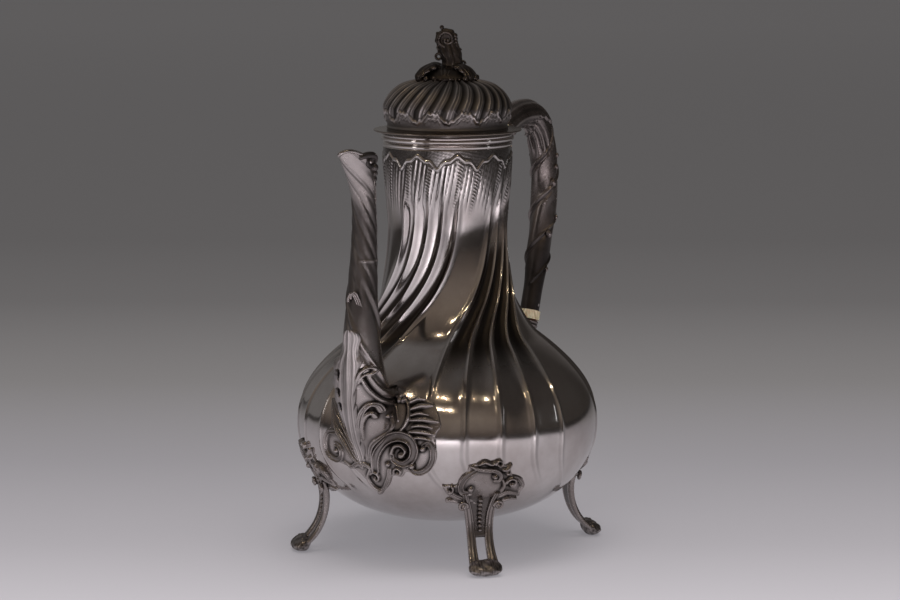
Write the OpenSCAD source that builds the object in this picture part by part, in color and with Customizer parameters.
// Swirl-lobed coffee pot on four openwork feet, with a hinged domed lid, a
// hollow spout and a scroll handle held between two insulating rings.
// Millimetres. The origin is on the body's axis at table height. +Z is up, the
// spout points towards -X and the handle towards +X.

/* [Body] */
// Radius of the belly at its widest
belly_r = 80.5; // [76:0.5:84]
// Height of the widest line of the belly
belly_z = 68; // [65:0.5:71]
// Height of the underside of the bowl
base_z = 16; // [13:0.5:19]
// Radius where the shoulder turns into the neck
shoulder_r = 49.8; // [46:0.2:53]
// Height where the shoulder turns into the neck
shoulder_z = 114; // [110:0.5:118]
// Slope of the shoulder there, from the horizontal
shoulder_slope = 37.3; // [34:0.1:41]
// Radius of the neck at its waist
waist_r = 31.2; // [29:0.2:32.6]
// Height of the waist
waist_z = 172; // [166:1:178]
// Radius of the neck below the mouth wire
neck_r = 34.3; // [33:0.1:36]
// Height of the body's top edge
neck_z = 216; // [212:0.5:222]
// Thickness of the silver sheet
wall = 1; // [0.8:0.1:1.6]

/* [Swirled lobes] */
// Ridges in each quarter of the body
ridges = 5; // [4:1:5]
// Angle between neighbouring ridges
ridge_step = 14; // [12:0.5:15]
// Angle of the first ridge of the front quarter
ridge_start = 203; // [198:1:208]
// Height of a ridge on the belly
belly_ridge_h = 1.1; // [0.6:0.1:1.6]
// Height of a ridge on the neck
neck_ridge_h = 1.7; // [0.8:0.1:2.2]
// Width of a ridge's foot to each side
ridge_w = 5.6; // [4:0.2:7]
// Turn of the lobes between the belly and the neck
twist = 60; // [40:1:75]
// Height at which half of that turn is reached
twist_z = 131; // [126:1:136]

/* [Mouth and lid] */
// Height of the reeded mouth wire
wire_h = 8; // [6:0.5:10]
// Outer radius of the mouth wire
wire_r = 35.5; // [34.8:0.1:37.5]
// Radius of the mouth's bore
mouth_r = 33; // [31.8:0.1:33.6]
// Radius of the lid's thin overhanging rim
rim_r = 39.5; // [38:0.5:41]
// Thickness of that rim
rim_t = 1; // [0.8:0.1:1.4]
// Gap between the rim and the mouth wire
lid_gap = 0.2; // [0.1:0.1:0.4]
// Largest radius of the dome
dome_r = 34.1; // [32:0.1:35]
// Height of the dome above the rim
dome_h = 27; // [24:0.5:30]
// Number of spiral flutes on the dome
dome_flutes = 24; // [16:1:28]
// Depth of a dome flute
dome_flute_d = 0.9; // [0.4:0.1:1.3]
// Turn of a dome flute from its foot to the top
dome_twist = 26; // [0:1:40]
// Depth to which the lid's collar enters the mouth
collar_h = 8; // [6:0.5:9]
// Clearance between the collar and the mouth
collar_gap = 0.8; // [0.7:0.1:1.2]

/* [Hinge] */
// Distance of the hinge pin from the body's axis
hinge_x = 42.2; // [41.9:0.1:44]
// Radius of the hinge pin
hinge_pin_r = 0.9; // [0.7:0.05:1.1]
// Radius of a hinge knuckle
knuckle_r = 2.2; // [1.9:0.1:2.4]
// Length of the lid's middle knuckle
middle_knuckle = 8; // [6:0.5:10]
// Length of each outer knuckle
outer_knuckle = 5; // [4:0.5:7]
// Running clearance around the hinge pin
hinge_clear = 0.05; // [0.02:0.01:0.1]
// End gap between two knuckles
knuckle_gap = 0.2; // [0.1:0.05:0.4]

/* [Finial] */
// Height of the finial above the dome
finial_h = 28; // [24:0.5:32]
// Reach of the finial's leaves
leaf_reach = 17; // [14:0.5:19]
// Number of leaves round the finial
finial_leaf_count = 6; // [5:1:7]
// Radius of the finial's stud
stud_r = 1.6; // [1.2:0.1:2]
// Clearance round the stud
stud_clear = 0.2; // [0.1:0.05:0.3]
// Width of the nut across its flats
nut_af = 7; // [6:0.5:8]
// Height of the nut
nut_h = 2.8; // [2.2:0.2:3.4]
// Radius of the washer below the dome
washer_r = 5.5; // [4.5:0.5:7]
// Thickness of the washer
washer_t = 0.8; // [0.6:0.1:1.2]

/* [Spout] */
// Radius of the tube at its narrowest
spout_r = 6.7; // [6:0.1:7.6]
// Distance of that narrow part from the body's axis
spout_x = 82.4; // [80:0.2:86]
// Height of the spout's mouth
spout_z = 217; // [213:0.5:221]
// Half the length of the spout's mouth
spout_mouth = 14.2; // [12:0.2:16]
// Thickness of the tube's wall
spout_wall = 1.4; // [1:0.1:1.8]
// Radius of a strainer hole
strainer_hole_r = 1.8; // [1.2:0.1:2.2]
// Distance between strainer holes
strainer_pitch = 5; // [4.8:0.1:5.6]
// Thickness of the cast plate round the spout's foot
plate_t = 1.8; // [1.2:0.1:2.4]
// Width of that plate with its shell fringe
plate_w = 62; // [56:1:66]
// Height of the scrolls cast on the plates
scroll_h = 3.6; // [2.8:0.1:4.4]
// Thickness of the acanthus leaf
leaf_t = 1.8; // [1.2:0.1:2.4]
// Widest half width of that leaf
leaf_w = 12; // [10:0.5:13]

/* [Handle] */
// Radius of the grip at the top of its curve
grip_top_r = 7.8; // [7:0.1:8.6]
// Radius of the grip at its lower end
grip_low_r = 5.8; // [5.4:0.1:6.6]
// Distance of the grip's back from the body's axis
grip_x = 107.6; // [104:0.2:112]
// Rise of the grip's highest point above the mouth, on its centre line
grip_rise = 3.2; // [1:0.2:7]
// Depth of the grip's spiral flutes
grip_flute_d = 0.6; // [0.2:0.1:1]
// Thickness of an insulating ring
insulator_t = 5; // [4:0.5:6]
// Height of an insulating ring's edge above the metal
insulator_lip = 0.5; // [0.2:0.1:0.8]
// Radius of the tenons on an insulating ring
tenon_r = 3.6; // [3:0.1:4]
// Length of a tenon
tenon_l = 7; // [5:0.5:8]
// Clearance round a tenon
tenon_clear = 0.1; // [0.05:0.05:0.2]
// Radius of the pins through the tenons
pin_r = 0.8; // [0.6:0.1:1]

/* [Feet] */
// Radius of the circle on which the toes stand
toe_r = 86.5; // [83:0.5:90]
// Thickness of the leg's strap
leg_t = 3.4; // [2.8:0.1:4]
// Width of the leg at its waist
leg_w = 14; // [12.6:0.2:16]
// Width of the toe
toe_w = 18; // [16:0.5:20]
// Height of the roll on the toe
toe_roll = 7.6; // [6.6:0.2:8.6]
// Width of the slot in the leg
slot_w = 4.8; // [3.6:0.2:5.6]
// Length of that slot
slot_l = 13; // [10:0.5:15]
// Width of the cartouche on the body
cartouche_w = 42; // [38:1:46]
// Height of the cartouche's centre
cartouche_z = 50; // [48:0.5:52]
// Height of the cartouche
cartouche_h = 23; // [20:0.5:26]

/* [Hidden] */

silver = "#a9a4a2";
dark_silver = "#6f6659";
ivory = "#e6d9bb";
// Segments of a full round, and of the surfaces on each side of a thin shell
round_n = 96;
shell_n = 288;
// Depth to which a soldered casting sinks into the sheet
solder = 0.35;
// Angle of the spout; angles run anticlockwise seen from above
spout_angle = 180;
// Angle of each foot, in the order of the four foot nodes
foot_angles = [225, 135, 45, 315];
eps = 0.01;

wire_top = neck_z + wire_h;
rim_z = wire_top + lid_gap;
dome_z = rim_z + rim_t;
dome_top = dome_z + dome_h;
hinge_z = wire_top + 0.5;
collar_r = mouth_r - collar_gap;

// ---------------------------------------------------------------- curves

// Point at t on a cubic Bezier curve
function bezier(p, t) = pow(1 - t, 3) * p[0] + 3 * pow(1 - t, 2) * t * p[1]
    + 3 * (1 - t) * t * t * p[2] + t * t * t * p[3];

// Point at t, counted in stations, on a smooth curve through the stations p
function smooth(p, t) = let (
    i = min(floor(t), len(p) - 2), u = t - i,
    a = p[max(i - 1, 0)], b = p[i], c = p[i + 1], d = p[min(i + 2, len(p) - 1)])
    0.5 * (2 * b + (c - a) * u + (2 * a - 5 * b + 4 * c - d) * u * u
    + (3 * b - a - 3 * c + d) * u * u * u);

function unit(v) = v / norm(v);
// A plane direction turned by a quarter, anticlockwise
function turned(v) = [-v[1], v[0]];
// Direction of the polyline p at its point i
function tangent(p, i) = unit(p[min(i + 1, len(p) - 1)] - p[max(i - 1, 0)]);
function joined(lists) = [for (l = lists) for (v = l) v];

// Solid skinned over rings of points. Each ring runs anticlockwise round the
// direction of travel. A looped skin joins its last ring to its first.
module skin(rings, looped = false) {
    n = len(rings[0]);
    m = len(rings);
    sides = [for (i = [0 : looped ? m - 1 : m - 2]) for (j = [0 : n - 1])
        let (k = (i + 1) % m, l = (j + 1) % n)
        each [[i * n + j, k * n + l, i * n + l], [i * n + j, k * n + j, k * n + l]]];
    start = [for (j = [1 : n - 2]) [0, j, j + 1]];
    end = [for (j = [1 : n - 2]) [(m - 1) * n, (m - 1) * n + j + 1, (m - 1) * n + j]];
    polyhedron(joined(rings), looped ? sides : concat(sides, start, end), convexity = 8);
}

// ---------------------------------------------------------------- body profile

bowl_depth = belly_z - base_z;
shoulder_dir = [-cos(shoulder_slope), sin(shoulder_slope)];
shoulder = [shoulder_r, shoulder_z];
upper_belly = [[belly_r, belly_z], [belly_r, belly_z + 13],
    shoulder - 33.7 * shoulder_dir, shoulder];
lower_neck = [shoulder, shoulder + 22.5 * shoulder_dir,
    [waist_r, waist_z - 6], [waist_r, waist_z]];
upper_neck = [[waist_r, waist_z], [waist_r, waist_z + 10],
    [neck_r, neck_z - 19], [neck_r, neck_z]];
// The bowl is a superellipse whose exponent makes it full below
bowl_power = 0.8;
// [radius, height] of each ring of the body
profile = concat(
    [for (a = [10, 19, 29, 40, 52, 65, 78])
        [belly_r * pow(sin(a), bowl_power), belly_z - bowl_depth * cos(a)]],
    [for (i = [0 : 7]) bezier(upper_belly, i / 8)],
    [for (i = [0 : 8]) bezier(lower_neck, i / 9)],
    [for (i = [0 : 3]) bezier(upper_neck, i / 3)]);
radius_at = [for (p = profile) [p[1], p[0]]];
function body_r(z) = lookup(z, radius_at);
// The profile moved along its own normal by d, outward when positive
function profile_offset(d) = [for (i = [0 : len(profile) - 1])
    profile[i] - d * turned(tangent(profile, i))];

// Point on the body's smooth surface: y is the distance along the surface from
// the angle a0, z the height and h the distance outward along the normal
function on_body(a0, y, z, h) = let (
    slope = (body_r(z + 2) - body_r(z - 2)) / 4,
    out = unit([1, -slope]), r = body_r(z),
    a = a0 + y / r * 180 / PI, rr = r + h * out[0])
    [rr * cos(a), rr * sin(a), z + h * out[1]];

// ---------------------------------------------------------------- swirled lobes

ridge_gap = 90 - (ridges - 1) * ridge_step;
flank = 0.45;
// [angle in the quarter, share of the ridge's height] for a ridge w degrees wide
function lobe_points(w) = concat(
    [for (i = [0 : ridges - 2]) each [[i * ridge_step, 1], [i * ridge_step + flank * w, 0.3],
        [(i + 0.5) * ridge_step, 0], [(i + 1) * ridge_step - flank * w, 0.3]]],
    let (last = (ridges - 1) * ridge_step)
    [[last, 1], [last + flank * w, 0.3], [last + 0.33 * ridge_gap, 0],
        [last + 0.67 * ridge_gap, 0], [90 - flank * w, 0.3]]);
// Height of a ridge over the body's height
ridge_fade = [[belly_z - 34, 0], [belly_z - 10, belly_ridge_h], [shoulder_z - 18, belly_ridge_h],
    [shoulder_z + 16, neck_ridge_h], [waist_z + 4, neck_ridge_h], [waist_z + 16, 0]];
// Turn of the ridges at a height: an S-curve up the neck, and a backward sweep
// under the belly
function swirl(z) = twist / (1 + exp((twist_z - z) / (z < twist_z ? 12 : 14)))
    + 0.018 * pow(max(0, belly_z - 4 - z), 2);
function body_ring(p) = let (
    w = min(ridge_step / 2, ridge_w / p[0] * 180 / PI),
    h = lookup(p[1], ridge_fade))
    [for (q = [0 : 3]) for (v = lobe_points(w))
        let (a = ridge_start + 90 * q + v[0] + swirl(p[1]), r = p[0] + h * v[1])
        [r * cos(a), r * sin(a), p[1]]];

module body_envelope(d = 0) {
    side = profile_offset(d);
    top = side[len(side) - 1];
    rotate_extrude($fn = shell_n)
        polygon(concat([[0, side[0][1]]], side, [[top[0], neck_z + 1], [0, neck_z + 1]]));
}

// Centre of the spout's opening in the body
strainer_z = belly_z + 16;
module strainer_holes() {
    rows = [[-1, 2], [0, 3], [1, 2], [2, 1], [-2, 1]];
    for (row = rows) for (i = [0 : row[1] - 1]) {
        z = strainer_z + row[0] * strainer_pitch * 0.87;
        y = (i - (row[1] - 1) / 2) * strainer_pitch;
        translate([-body_r(z) - 6, y, z]) rotate([0, 90, 0])
            cylinder(r = strainer_hole_r, h = 18, $fn = 24);
    }
}

module body() color(silver) difference() {
    skin([for (p = profile) body_ring(p)]);
    body_envelope(-wall);
    strainer_holes();
}

// ---------------------------------------------------------------- mouth wire

// Outline of a round edge of radius r whose foremost point is at [x, z]
function round_edge(x, z, r) = [for (a = [-75 : 25 : 75]) [x - r + r * cos(a), z + r * sin(a)]];
// Two reeds and a lip, stacked from the body's edge to the lid
module mouth_wire() color(silver) rotate_extrude($fn = round_n) {
    reed = wire_h / 7;
    low_r = neck_r + 0.3;
    polygon(concat([[mouth_r, neck_z], [neck_r - 0.3, neck_z]],
        round_edge(low_r, neck_z + 1.4 * reed, reed),
        [[low_r - 0.5, neck_z + 2.8 * reed]],
        round_edge(wire_r, neck_z + 4 * reed, reed),
        [[wire_r - 0.6, wire_top - 1.4 * reed], [wire_r + 0.4, wire_top - 0.7 * reed],
            [wire_r + 0.4, wire_top], [mouth_r, wire_top]]));
}

// ---------------------------------------------------------------- cast ornament

// Half-round bead laid on the body along a path of [y, z] points
module bead(a0, path, w, h) {
    n = len(path) - 1;
    skin([for (i = [0 : n])
        let (s = turned(tangent(path, i)), taper = 0.55 + 0.45 * sin(180 * min(1, 0.15 + i / n)))
        [for (v = [[1, -solder], [0.75, 0.6 * h], [0, h], [-0.75, 0.6 * h], [-1, -solder]])
            let (q = path[i] + v[0] * w * taper * s)
            on_body(a0, q[0], q[1], v[1] > 0 ? v[1] * (0.6 + 0.4 * taper) : v[1])]]);
}
// Spiral of n points about the centre c, from radius r0 and angle t0 to r1, t1
function scroll(c, r0, r1, t0, t1, n = 11) = [for (i = [0 : n])
    let (t = t0 + (t1 - t0) * i / n, r = r0 + (r1 - r0) * i / n) c + r * [cos(t), sin(t)]];
module pearl(a0, y, z, r, lift) translate(on_body(a0, y, z, lift)) sphere(r = r, $fn = 20);

// Plate on the body; each row is [height, left edge, right edge]
module body_plate(a0, rows, t, columns = 6) skin([for (row = rows)
    concat(
        [for (k = [0 : columns]) on_body(a0, row[1] + (row[2] - row[1]) * k / columns, row[0], t)],
        [for (k = [columns : -1 : 0])
            on_body(a0, row[1] + (row[2] - row[1]) * k / columns, row[0], -solder)])]);

// ---------------------------------------------------------------- feet

leg_top = cartouche_z - 0.34 * cartouche_h;
leg_line = [[body_r(leg_top) + 0.4, leg_top], [63.5, 30], [69, 6], [toe_r, 1.6]];
leg_steps = 14;
module leg_side() {
    line = [for (i = [0 : leg_steps]) bezier(leg_line, i / leg_steps)];
    side = function (s) [for (i = [0 : leg_steps])
        line[i] + s * leg_t / 2 * (1 - 0.25 * i / leg_steps) * turned(tangent(line, i))];
    near = side(-1);
    far = side(1);
    intersection() {
        union() {
            polygon(concat(near, [for (i = [leg_steps : -1 : 0]) far[i]]));
            translate([toe_r - toe_roll * 0.62, toe_roll / 2]) circle(d = toe_roll, $fn = 32);
            translate([toe_r - 2.4, 1.9]) circle(d = 5, $fn = 32);
        }
        translate([toe_r - 40, 0]) square([60, 60]);
    }
}
module leg_front() {
    top = leg_top + 4;
    waist = 17;
    half = function (z) leg_w / 2 + (z > waist ? 4.4 * pow((z - waist) / (top - waist), 2)
        : (toe_w - leg_w) / 2 * pow((waist - z) / waist, 2));
    heights = [for (i = [0 : 12]) top * i / 12];
    slot_z = 8.5;
    difference() {
        polygon(concat([for (z = heights) [half(z), z]],
            [for (i = [12 : -1 : 0]) [-half(heights[i]), heights[i]]]));
        translate([-slot_w / 2, slot_z]) square([slot_w, slot_l - slot_w]);
        translate([0, slot_z]) circle(d = slot_w, $fn = 24);
        translate([0, slot_z + slot_l - slot_w]) circle(d = slot_w, $fn = 24);
    }
}
module leg() intersection() {
    rotate([90, 0, 0]) linear_extrude(height = 40, center = true) leg_side();
    rotate([90, 0, 90]) linear_extrude(height = toe_r + 10) leg_front();
}
// Oval plate ringed by C-scrolls with pearls in their eyes
module cartouche() {
    w = cartouche_w / 2;
    h = cartouche_h / 2;
    eye = 0.08 * cartouche_w;
    scroll_r = 0.22 * cartouche_w / 2;
    body_plate(0, [for (i = [-3 : 3]) let (c = 0.72 * w * cos(i * 25) - 1)
        [cartouche_z + 0.82 * h * sin(i * 28), -c, c]], plate_t * 0.6, 4);
    for (m = [-1, 1]) {
        bead(0, [for (v = scroll([0, 0], h * 0.86, h * 0.72, 95, 205, 6))
            [m * v[0] * 1.25, cartouche_z + v[1]]], 1.5, scroll_h * 0.75);
        bead(0, [for (v = scroll([0.66 * w, 0.3 * h], scroll_r, eye / 2.2, 150, -150, 8))
            [m * v[0], cartouche_z + v[1]]], 1.3, scroll_h * 0.7);
        bead(0, [for (v = scroll([0.62 * w, -0.5 * h], scroll_r, eye / 2.6, -190, 80, 8))
            [m * v[0], cartouche_z + v[1]]], 1.3, scroll_h * 0.7);
        pearl(0, m * 0.66 * w, cartouche_z + 0.3 * h, eye / 2, 1.2);
        pearl(0, m * 0.62 * w, cartouche_z - 0.5 * h, eye / 2, 1.2);
    }
    pearl(0, 0.18 * w, cartouche_z + 0.98 * h, 0.75 * eye, 0.8);
}
module foot(angle) color(silver) rotate([0, 0, angle]) {
    difference() {
        leg();
        body_envelope(-solder);
    }
    cartouche();
}
module foot_front_left() foot(foot_angles[0]);
module foot_rear_left() foot(foot_angles[1]);
module foot_rear_right() foot(foot_angles[2]);
module foot_front_right() foot(foot_angles[3]);

// ---------------------------------------------------------------- spout

// [distance, height, half depth, half width, tilt of the section] of the tube
spout_line = [
    [belly_r - 22.5, belly_z - 4, 16.5, 13, -46],
    [belly_r - 12.5, belly_z + 6, 16, 13, -42],
    [belly_r - 3, belly_z + 19, 14, 12.5, -28],
    [belly_r + 3, belly_z + 35, 12, 11.4, -11],
    [belly_r + 5.1, belly_z + 53, spout_r + 3.1, spout_r + 3.1, 0],
    [belly_r + 4.3, belly_z + 72, spout_r + 1.4, spout_r + 1.3, 4],
    [spout_x + 0.9, 160, spout_r + 0.3, spout_r + 0.3, 3],
    [spout_x, 180, spout_r, spout_r, -1],
    [spout_x + 1, 197, spout_r + 0.3, spout_r + 0.2, -8],
    [spout_x + 4, spout_z - 9, 0.67 * spout_mouth, spout_r + 0.4, -6],
    [spout_x + 9.4, spout_z, spout_mouth, spout_r + 0.4, 7]];
spout_sides = 14;
spout_rings = 22;
// Section at t, thinned by d; towards the mouth it draws out to a beak
function spout_ring(t, d) = let (
    s = smooth(spout_line, t), top = len(spout_line) - 1,
    beak = 0.5 * pow(max(0, (t - top + 3) / 3), 2))
    [for (k = [0 : spout_sides - 1])
        let (a = 360 * k / spout_sides,
            u = (s[2] - d) * cos(a),
            v = (s[3] - d) * sin(a) * (1 - beak * max(0, cos(a))))
        [s[0] + u * cos(s[4]), v, s[1] + u * sin(s[4])]];
module spout() color(silver) rotate([0, 0, spout_angle]) difference() {
    end = len(spout_line) - 1;
    ts = [for (i = [0 : spout_rings]) end * i / spout_rings];
    skin(concat([for (t = ts) spout_ring(t, 0)],
        [for (i = [spout_rings : -1 : 0]) spout_ring(ts[i], spout_wall)]), looped = true);
    body_envelope();
}

// Shield-shaped rocaille plate soldered round the spout's foot: a big volute low
// on the right, a moulded edge above it and a shell fringe beside it. It leaves
// the tube's own footprint open. Points are in 62nds of its width, from the
// belly's widest line below the spout.
module spout_cartouche() color(silver) {
    s = plate_w / 62;
    rows = [[-25, 1, 6], [-20, -7, 9], [-16, -15, 14], [-11, -18, 23], [-5, -22, 33],
        [1, -25, 34], [8, -26, 34], [15, -25, 34], [21, -22, 28], [27, -16, 17], [31, -11, 11]];
    at = function (v) [v[0] * s, belly_z + v[1] * s];
    along_edge = function (p, n) [for (i = [0 : n]) at(bezier(p, i / n))];
    coil = function (c, r0, r1, t0, t1, n) [for (v = scroll(c, r0, r1, t0, t1, n)) at(v)];
    difference() {
        union() {
            body_plate(spout_angle, [for (r = rows) [belly_z + r[0] * s, r[1] * s, r[2] * s]],
                plate_t, 6);
            bead(spout_angle, coil([19.5, -1.5], 9, 2, 120, -300, 13), 1.8 * s, scroll_h);
            bead(spout_angle, coil([31, -3.6], 5, 1.6, 100, -190, 8), 1.6 * s, scroll_h);
            bead(spout_angle, coil([14, 13], 5, 1.6, 150, -120, 8), 1.4 * s, scroll_h);
            bead(spout_angle, coil([-20, -3], 6.5, 2, 30, 300, 10), 1.6 * s, scroll_h);
            bead(spout_angle, coil([-13, -15], 5, 1.6, 60, 300, 8), 1.5 * s, scroll_h);
            bead(spout_angle, along_edge([[9, 31], [17, 27], [22, 24], [24, 6]], 7),
                1.6 * s, scroll_h);
            bead(spout_angle, along_edge([[-9, 31], [-17, 27], [-24, 20], [-26, 4]], 7),
                1.6 * s, scroll_h);
            for (i = [0 : 4])
                bead(spout_angle, [for (k = [0 : 3])
                    at([25 + 3.4 * k, 5 + 4 * i + 0.25 * k * (i - 2)])], 1.4 * s, 0.8 * scroll_h);
            for (v = [[19.5, -1.5, 2.2], [31, -3.6, 1.9], [3.6, -25.4, 2.2]]) {
                q = at(v);
                pearl(spout_angle, q[0], q[1], v[2] * s, 0.6 * scroll_h);
            }
        }
        rotate([0, 0, spout_angle])
            skin([for (i = [0 : 12]) spout_ring(i / 3, 0)]);
    }
}

// Long acanthus leaf down the front of the spout on to the belly
module spout_leaf() color(silver) {
    // [distance beyond the belly, height above its widest line, share of the half
    // width] down the leaf's midrib
    line = [for (v = [[13.9, 59, 0.12], [15.5, 53, 0.38], [16.1, 45, 0.46], [15.9, 37, 0.67],
        [14.1, 28, 0.72], [11.5, 19, 0.92], [8.3, 9, 0.95], [3.9, -1, 1], [-0.1, -10, 0.8],
        [-4.9, -19, 0.46], [-9.9, -26, 0.17]])
        [belly_r + v[0], belly_z + v[1], leaf_w * v[2]]];
    steps = 22;
    rotate([0, 0, spout_angle]) difference() {
        skin([for (i = [0 : steps])
            let (t = (len(line) - 1) * (1 - i / steps), s = smooth(line, t),
                e = smooth(line, t + 0.2 > len(line) - 1 ? t - 0.2 : t + 0.2),
                d = (t + 0.2 > len(line) - 1 ? 1 : -1) * unit([e[0] - s[0], e[1] - s[1]]),
                out = -turned(d), w = s[2] * (1 - 0.22 * (i % 2)))
            [for (v = [[-1, 0, 1], [-0.55, 1, 0], [0, 0.75, 0], [0.55, 1, 0], [1, 0, 1],
                [0.5, -3, 0], [-0.5, -3, 0]])
                let (y = v[0] * w, h = leaf_t * v[1] - y * y / 22)
                [s[0] + out[0] * h, y, s[1] + out[1] * h]]]);
        body_envelope();
        skin([for (i = [0 : 16]) spout_ring(0.3 + i / 3, 0)]);
    }
}

// ---------------------------------------------------------------- handle

// Middle and slope of the insulating rings on the handle's centre line, which
// lies in the plane of the spout
upper_ring = [neck_r + 18.7, neck_z + 3.2];
upper_slope = 27;
lower_ring = [belly_r + 8.7, shoulder_z - 0.6];
lower_slope = 72;
function along(angle) = [cos(angle), sin(angle)];
half_ring = insulator_t / 2;
tenon_end = 0.5;
socket_top = upper_ring - half_ring * along(upper_slope);
grip_start = upper_ring + half_ring * along(upper_slope);
grip_end = lower_ring + half_ring * along(lower_slope);
socket_low = lower_ring - half_ring * along(lower_slope);
// Highest point of the grip, and the foremost point of its back
grip_top = [grip_x - 25.1, wire_top + grip_rise];
grip_back = grip_top + [25.1, -39.2];
grip_curve_1 = [grip_start, grip_start + 14 * along(upper_slope), grip_top - [8.5, 0], grip_top];
grip_curve_2 = [grip_top, grip_top + [14.5, 0], grip_back + [0, 23], grip_back];
grip_curve_3 = [grip_back, grip_back - [0, 24], grip_end + 30 * along(lower_slope), grip_end];
socket_curve_u = [[neck_r - 4.3, neck_z - 14], [neck_r + 3.7, neck_z - 9.5],
    socket_top - 9 * along(upper_slope), socket_top];
socket_curve_l = [socket_low, socket_low - 10 * along(lower_slope),
    [belly_r - 2.5, belly_z + 23], [belly_r - 11.5, belly_z + 18]];
function curve(p, n) = [for (i = [0 : n]) bezier(p, i / n)];
// The line without the point it shares with the next one
function open_end(p) = [for (i = [0 : len(p) - 2]) p[i]];

handle_sides = 16;
// Gap of a soldered or butted joint
joint_gap = 0.05;
// Ring round a point of the handle's line, square to the direction d. The ring
// has four lobes, turned by the angle a.
function handle_ring(p, d, r, flute, a) = [for (k = [0 : handle_sides - 1])
    let (t = 360 * k / handle_sides, q = r - flute * (0.5 - 0.5 * cos(4 * (t - a))),
        n = q * cos(t), b = q * sin(t))
    [p[0] + n * d[1], b, p[1] - n * d[0]]];
// Frame of a piece on the handle's line: moves its Z axis on to that line
module on_handle(p, slope) translate([p[0], 0, p[1]]) rotate([0, 90 - slope, 0]) children();

// Bore for a tenon, tenon_end deeper than the tenon is long
module tenon_bore(p, slope, up) on_handle(p, slope)
    translate([0, 0, up ? -eps : -tenon_l - tenon_end])
        cylinder(r = tenon_r + tenon_clear, h = tenon_l + tenon_end + eps, $fn = 32);
module cross_pin(p, slope, up, r, l) on_handle(p, slope)
    translate([0, 0, (up ? 1 : -1) * tenon_l / 2]) rotate([90, 0, 0])
        cylinder(r = r, h = l, center = true, $fn = 20);

module handle_grip() color(silver) {
    line = concat(open_end(curve(grip_curve_1, 8)), open_end(curve(grip_curve_2, 11)),
        curve(grip_curve_3, 19));
    n = len(line) - 1;
    difference() {
        skin([for (i = [0 : n])
            let (s = i / n, swell = sin(180 * min(1, s * 1.25)),
                r = grip_top_r + (grip_low_r - grip_top_r) * s + 0.8 * (swell - 0.6),
                d = i == 0 ? along(upper_slope) : i == n ? -along(lower_slope) : tangent(line, i))
            handle_ring(line[i], d, r, grip_flute_d * sin(180 * s), 400 * s)]);
        tenon_bore(grip_start, upper_slope, true);
        tenon_bore(grip_end, lower_slope, true);
        cross_pin(grip_start, upper_slope, true, pin_r, 3 * grip_top_r);
        cross_pin(grip_end, lower_slope, true, pin_r, 3 * grip_top_r);
    }
}
// Socket along a line; its end at the insulating ring is square to that ring's
// slope, and set back from it by joint_gap
module socket(line, slope, at_start, r0, r1) {
    n = len(line) - 1;
    skin([for (i = [0 : n]) let (
        last = at_start ? i == 0 : i == n,
        d = last ? (at_start ? -1 : 1) * along(slope) : tangent(line, i),
        back = last ? -joint_gap * along(slope) : [0, 0])
        handle_ring(line[i] + back, d, r0 + (r1 - r0) * i / n, 0, 0)]);
}
module handle_upper_socket() color(silver) difference() {
    socket(curve(socket_curve_u, 8), upper_slope, false, 8.4, grip_top_r - 0.5);
    // Room for the hinge's bracket
    translate([mouth_r, -hinge_w / 2 - joint_gap, bracket_z - joint_gap])
        cube([hinge_x - mouth_r + knuckle_r, hinge_w + 2 * joint_gap, 2 * knuckle_r]);
    body_envelope();
    translate([0, 0, neck_z - 30]) cylinder(r = neck_r + eps, h = 30, $fn = round_n);
    tenon_bore(socket_top, upper_slope, false);
    cross_pin(socket_top, upper_slope, false, pin_r, 3 * grip_top_r);
}
module handle_lower_socket() color(silver) difference() {
    socket(curve(socket_curve_l, 8), lower_slope, true, grip_low_r, 8.4);
    body_envelope();
    tenon_bore(socket_low, lower_slope, false);
    cross_pin(socket_low, lower_slope, false, pin_r, 3 * grip_top_r);
}
// Turned ring with a tenon on each side, drilled for its two pins
module insulator(p, slope, r) color(ivory) difference() {
    on_handle(p, slope) {
        cylinder(r = r + insulator_lip, h = insulator_t, center = true, $fn = 48);
        cylinder(r = tenon_r, h = insulator_t + 2 * tenon_l, center = true, $fn = 32);
    }
    for (m = [-1, 1])
        on_handle(p, slope) translate([0, 0, m * (half_ring + tenon_l / 2)]) rotate([90, 0, 0])
            cylinder(r = pin_r, h = 3 * tenon_r, center = true, $fn = 20);
}
module upper_insulator() insulator(upper_ring, upper_slope, grip_top_r - 0.5);
module lower_insulator() insulator(lower_ring, lower_slope, grip_low_r);
// The pins end just below the metal's surface
module upper_pins() color(silver) {
    cross_pin(socket_top, upper_slope, false, pin_r, 2 * grip_top_r - 1.8);
    cross_pin(grip_start, upper_slope, true, pin_r, 2 * grip_top_r - 1.8);
}
module lower_pins() color(silver) {
    cross_pin(grip_end, lower_slope, true, pin_r, 2 * grip_low_r - 0.8);
    cross_pin(socket_low, lower_slope, false, pin_r, 2 * grip_low_r - 0.8);
}

// ---------------------------------------------------------------- hinge

outer_y = middle_knuckle / 2 + knuckle_gap;
hinge_w = 2 * (outer_y + outer_knuckle);
bracket_t = 1.6;
bracket_z = hinge_z - knuckle_r - bracket_t;
// Cylinder along Y on the hinge's line, from y upwards
module on_hinge(r, y, l) translate([hinge_x, y + l, hinge_z]) rotate([90, 0, 0])
    cylinder(r = r, h = l, $fn = 36);

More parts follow.
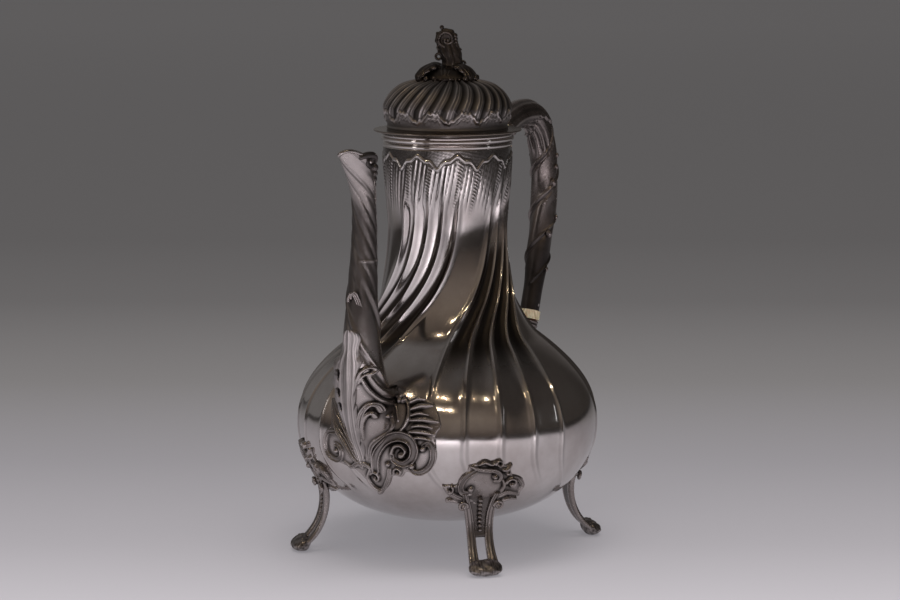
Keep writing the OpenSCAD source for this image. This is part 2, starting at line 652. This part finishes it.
// Bracket on the mouth wire that carries the two outer knuckles
module hinge_base() color(silver) difference() {
    union() {
        for (y = [outer_y, -outer_y - outer_knuckle]) {
            on_hinge(knuckle_r, y, outer_knuckle);
            translate([mouth_r, y, hinge_z - knuckle_r])
                cube([hinge_x - mouth_r, outer_knuckle, knuckle_r - 1]);
        }
        translate([mouth_r, -hinge_w / 2, bracket_z])
            cube([hinge_x - mouth_r + knuckle_r - 1.2, hinge_w, bracket_t]);
    }
    cylinder(r = wire_r - 0.4, h = rim_z + 5, $fn = round_n);
    on_hinge(hinge_pin_r, -hinge_w / 2 - 1, hinge_w + 2);
    on_hinge(knuckle_r + 0.3, -outer_y, 2 * outer_y);
}
// Pin held fast in the outer knuckles
module hinge_pin() color(silver)
    on_hinge(hinge_pin_r, -hinge_w / 2, hinge_w);
// Middle knuckle on a strap that is soldered to the lid's rim
module lid_hinge_strap() color(silver) difference() {
    union() {
        on_hinge(knuckle_r, -middle_knuckle / 2, middle_knuckle);
        translate([dome_r - 1.6, -middle_knuckle / 2, dome_z])
            cube([hinge_x - dome_r + 1.6, middle_knuckle, hinge_z + knuckle_r - dome_z]);
    }
    on_hinge(hinge_pin_r + hinge_clear, -middle_knuckle, 2 * middle_knuckle);
}

// ---------------------------------------------------------------- lid

dome_foot_r = dome_r - 1.6;
// Outline of the dome from its foot to the seat of the finial
dome_seat = 7;
dome_line = [[dome_foot_r, 0], [dome_foot_r + 0.1, 0.12], [dome_r, 0.4], [dome_r - 0.8, 0.53],
    [dome_r - 2.6, 0.64], [dome_r - 5.6, 0.76], [dome_r - 10.4, 0.88], [dome_r - 16.4, 0.955],
    [dome_r - 22, 0.99], [dome_seat, 1]];
function dome_point(t) = let (p = smooth(dome_line, t)) [p[0], dome_z + dome_h * p[1]];
dome_rings = 11;
dome_profile = [for (i = [0 : dome_rings]) dome_point((len(dome_line) - 1) * i / dome_rings)];
function dome_ring(i) = let (
    p = dome_profile[i], s = i / dome_rings,
    d = dome_flute_d * min(1, max(0, (i - 1) / 2)) * min(1, p[0] / dome_r * 1.3 - 0.2))
    [for (k = [0 : dome_flutes - 1]) for (v = [[0, 0], [0.35, 0.9], [0.7, 0.8]])
        let (a = (k + v[0]) * 360 / dome_flutes + dome_twist * s, r = p[0] - d * v[1])
        [r * cos(a), r * sin(a), p[1]]];
module lid_dome() color(dark_silver) difference() {
    skin([for (i = [0 : dome_rings]) dome_ring(i)]);
    inner = [for (i = [0 : dome_rings])
        dome_profile[i] + (wall + 0.5 * dome_flute_d) * turned(tangent(dome_profile, i))];
    rotate_extrude($fn = shell_n) polygon(concat([[0, dome_z - 1], [inner[0][0], dome_z - 1]],
        [for (i = [0 : dome_rings]) [max(inner[i][0], 0.1), max(inner[i][1], dome_z - 0.5)]],
        [[0, inner[dome_rings][1]]]));
    translate([0, 0, dome_z]) cylinder(r = stud_r + stud_clear, h = dome_h + 1, $fn = 24);
}
// Thin disc that overhangs the mouth and carries the dome and the collar
module lid_rim() color(dark_silver) rotate_extrude($fn = round_n)
    polygon(concat([[collar_r - 2.4, rim_z]],
        round_edge(rim_r, rim_z + rim_t / 2, rim_t / 2),
        [[collar_r - 2.4, dome_z]]));
// Collar that drops into the mouth
module lid_collar() color(dark_silver) rotate_extrude($fn = round_n)
    polygon([[collar_r - wall, rim_z], [collar_r, rim_z], [collar_r, rim_z - collar_h + 1],
        [collar_r - 0.5, rim_z - collar_h], [collar_r - wall, rim_z - collar_h]]);

// ---------------------------------------------------------------- finial

// Ring of arched leaves that curl under at their tips
module finial_leaves() color(dark_silver) difference() {
    // [distance, height above the dome, half width, half thickness] along a leaf
    line = [[2, 1.5, 2, 1.4], [5.5, 4.6, 2.8, 1.6], [9.5, 6.4, 3.6, 1.5], [13.2, 5, 4, 1.5],
        [leaf_reach - 1.2, 1.2, 3.4, 1.6], [leaf_reach - 1.6, -2.4, 2.4, 1.5]];
    steps = 8;
    union() {
        translate([0, 0, dome_top - 1]) cylinder(r1 = dome_seat, r2 = stud_r + 3, h = 4, $fn = 40);
        for (i = [0 : finial_leaf_count - 1]) rotate([0, 0, 360 * (i + 0.5) / finial_leaf_count])
            skin([for (j = [0 : steps])
                let (t = (len(line) - 1) * (1 - j / steps), s = smooth(line, t),
                    a = smooth(line, max(0, t - 0.1)), e = smooth(line, min(len(line) - 1, t + 0.1)),
                    d = unit([a[0] - e[0], a[1] - e[1]]))
                [for (k = [0 : 5]) let (n = s[3] * cos(60 * k), w = s[2] * sin(60 * k))
                    [s[0] + n * d[1], w, dome_top + s[1] - n * d[0]]]]);
    }
    translate([0, 0, dome_top - 4]) cylinder(r = stud_r, h = 14, $fn = 24);
    // Seat on the dome
    rotate_extrude($fn = round_n) polygon(concat([[0, dome_z]], dome_profile, [[0, dome_top]]));
}
// Stem with an open scroll at its head, and the stud that goes through the dome
module finial() color(dark_silver) {
    foot_z = dome_top + 3;
    head_z = dome_top + finial_h - 9;
    rotate_extrude($fn = 40) polygon([[0, foot_z], [4.6, foot_z], [5.2, foot_z + 2],
        [4.2, foot_z + 5], [3, foot_z + 8], [3.4, head_z - 4], [4.2, head_z - 2.4],
        [3, head_z], [0, head_z]]);
    translate([0, 0, head_z + 2.2]) rotate([90, 0, 31]) rotate_extrude($fn = 40)
        translate([3.5, 0]) circle(r = 2.3, $fn = 20);
    translate([-1.6, 1, dome_top + finial_h - 1.7]) sphere(r = 1.7, $fn = 20);
    translate([0, 0, dome_top - washer_t - nut_h - 4]) cylinder(r = stud_r, h = 8 + washer_t + nut_h, $fn = 24);
}
// Inside face of the dome below the finial
dome_ceiling = dome_top - wall - 0.5 * dome_flute_d;
module finial_washer() color(silver) translate([0, 0, dome_ceiling - washer_t]) difference() {
    cylinder(r = washer_r, h = washer_t, $fn = 40);
    translate([0, 0, -1]) cylinder(r = stud_r + stud_clear, h = washer_t + 2, $fn = 24);
}
module finial_nut() color(silver) translate([0, 0, dome_ceiling - washer_t - nut_h]) difference() {
    cylinder(d = nut_af / cos(30), h = nut_h, $fn = 6);
    translate([0, 0, -1]) cylinder(r = stud_r, h = nut_h + 2, $fn = 24);
}

body();
mouth_wire();
spout();
spout_cartouche();
spout_leaf();
foot_front_left();
foot_rear_left();
foot_rear_right();
foot_front_right();
handle_upper_socket();
upper_insulator();
handle_grip();
lower_insulator();
handle_lower_socket();
upper_pins();
lower_pins();
hinge_base();
hinge_pin();
lid_hinge_strap();
lid_rim();
lid_collar();
lid_dome();
finial_leaves();
finial();
finial_washer();
finial_nut();
